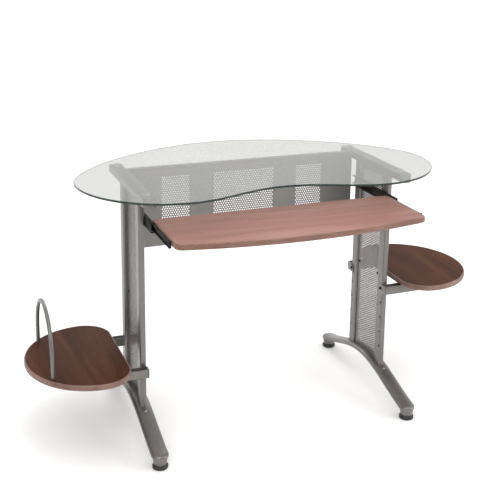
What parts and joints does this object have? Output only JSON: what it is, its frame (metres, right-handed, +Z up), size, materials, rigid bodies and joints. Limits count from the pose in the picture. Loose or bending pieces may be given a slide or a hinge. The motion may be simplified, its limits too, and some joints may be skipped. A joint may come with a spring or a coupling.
{
  "type": "computer desk with keyboard tray",
  "caption": "Desk with a kidney-shaped glass top on two steel leg frames, a sliding keyboard tray, a low computer shelf with a guard loop and a side shelf.",
  "frame": {"origin": "on the floor, under the middle of the outer box of the desk with the tray pulled out", "axes": "+X to the right of the person who sits at the desk, +Y to the rear, away from that person, +Z up"},
  "size_m": [1.44, 0.771, 0.775],
  "materials": {
    "satin_paint": "satin powder coat, warm grey",
    "black_steel": "black, semi-gloss",
    "bright_steel": "zinc plated",
    "black_plastic": "matt moulded",
    "clear_rubber": "clear, soft",
    "glass": "clear float glass with a ground and polished green edge",
    "tray_wood": "red-brown mahogany laminate, satin",
    "shelf_wood": "red-brown mahogany laminate, satin"
  },
  "bodies": {
    "desk_frame": {"cpu_guard_loop": "satin_paint", "cpu_shelf_arm_front": "satin_paint", "cpu_shelf_arm_rear": "satin_paint", "cpu_shelf_board": "shelf_wood", "cpu_shelf_bolt_front": "black_steel", "cpu_shelf_bolt_rear": "black_steel", "foot_bolt_left_front": "bright_steel", "foot_bolt_left_rear": "bright_steel", "foot_bolt_right_front": "bright_steel", "foot_bolt_right_rear": "bright_steel", "foot_cup_left_front": "satin_paint", "foot_cup_left_rear": "satin_paint", "foot_cup_right_front": "satin_paint", "foot_cup_right_rear": "satin_paint", "foot_left": "satin_paint", "foot_right": "satin_paint", "glass_pad_left_front": "clear_rubber", "glass_pad_left_rear": "clear_rubber", "glass_pad_right_front": "clear_rubber", "glass_pad_right_rear": "clear_rubber", "glass_top": "glass", "modesty_bracket_left": "satin_paint", "modesty_bracket_right": "satin_paint", "modesty_panel": "satin_paint", "post_left_front": "satin_paint", "post_left_rear": "satin_paint", "post_right_front": "satin_paint", "post_right_rear": "satin_paint", "rear_cross_rail": "satin_paint", "side_panel_left": "satin_paint", "side_panel_right": "satin_paint", "side_panel_screw_left_front": "black_steel", "side_panel_screw_left_rear": "black_steel", "side_panel_screw_right_front": "black_steel", "side_panel_screw_right_rear": "black_steel", "side_shelf_arm_front": "satin_paint", "side_shelf_arm_rear": "satin_paint", "side_shelf_board": "shelf_wood", "side_shelf_bolt_front": "black_steel", "side_shelf_bolt_rear": "black_steel", "slide_fixed_left": "black_steel", "slide_fixed_right": "black_steel", "top_rail_left": "satin_paint", "top_rail_right": "satin_paint"},
    "tray": {"tray_board": "tray_wood", "slide_moving_left": "black_steel", "slide_moving_right": "black_steel"},
    "ball_cages": {"slide_ball_cage_left": "bright_steel", "slide_ball_cage_right": "bright_steel"},
    "left_front_glide": {"leveling_glide_left_front": "black_plastic"},
    "left_rear_glide": {"leveling_glide_left_rear": "black_plastic"},
    "right_front_glide": {"leveling_glide_right_front": "black_plastic"},
    "right_rear_glide": {"leveling_glide_right_rear": "black_plastic"}
  },
  "joints": [
    {"name": "tray_slide", "type": "slide", "parent": "desk_frame", "child": "tray", "axis": [0, 1, 0], "range_m": [0, 0.148]},
    {"name": "ball_cage_slide", "type": "slide", "parent": "desk_frame", "child": "ball_cages", "axis": [0, 1, 0], "range_m": [0, 0.074]},
    {"name": "left_front_glide_turn", "type": "hinge", "parent": "desk_frame", "child": "left_front_glide", "pos_m": [-0.397, -0.2525, 0], "axis": [0, 0, 1], "continuous": true},
    {"name": "left_rear_glide_turn", "type": "hinge", "parent": "desk_frame", "child": "left_rear_glide", "pos_m": [-0.397, 0.2995, 0], "axis": [0, 0, 1], "continuous": true},
    {"name": "right_front_glide_turn", "type": "hinge", "parent": "desk_frame", "child": "right_front_glide", "pos_m": [0.397, -0.2525, 0], "axis": [0, 0, 1], "continuous": true},
    {"name": "right_rear_glide_turn", "type": "hinge", "parent": "desk_frame", "child": "right_rear_glide", "pos_m": [0.397, 0.2995, 0], "axis": [0, 0, 1], "continuous": true}
  ],
  "couplings": [
    {"joint": "ball_cage_slide", "follows": "tray_slide", "ratio": 0.5}
  ]
}
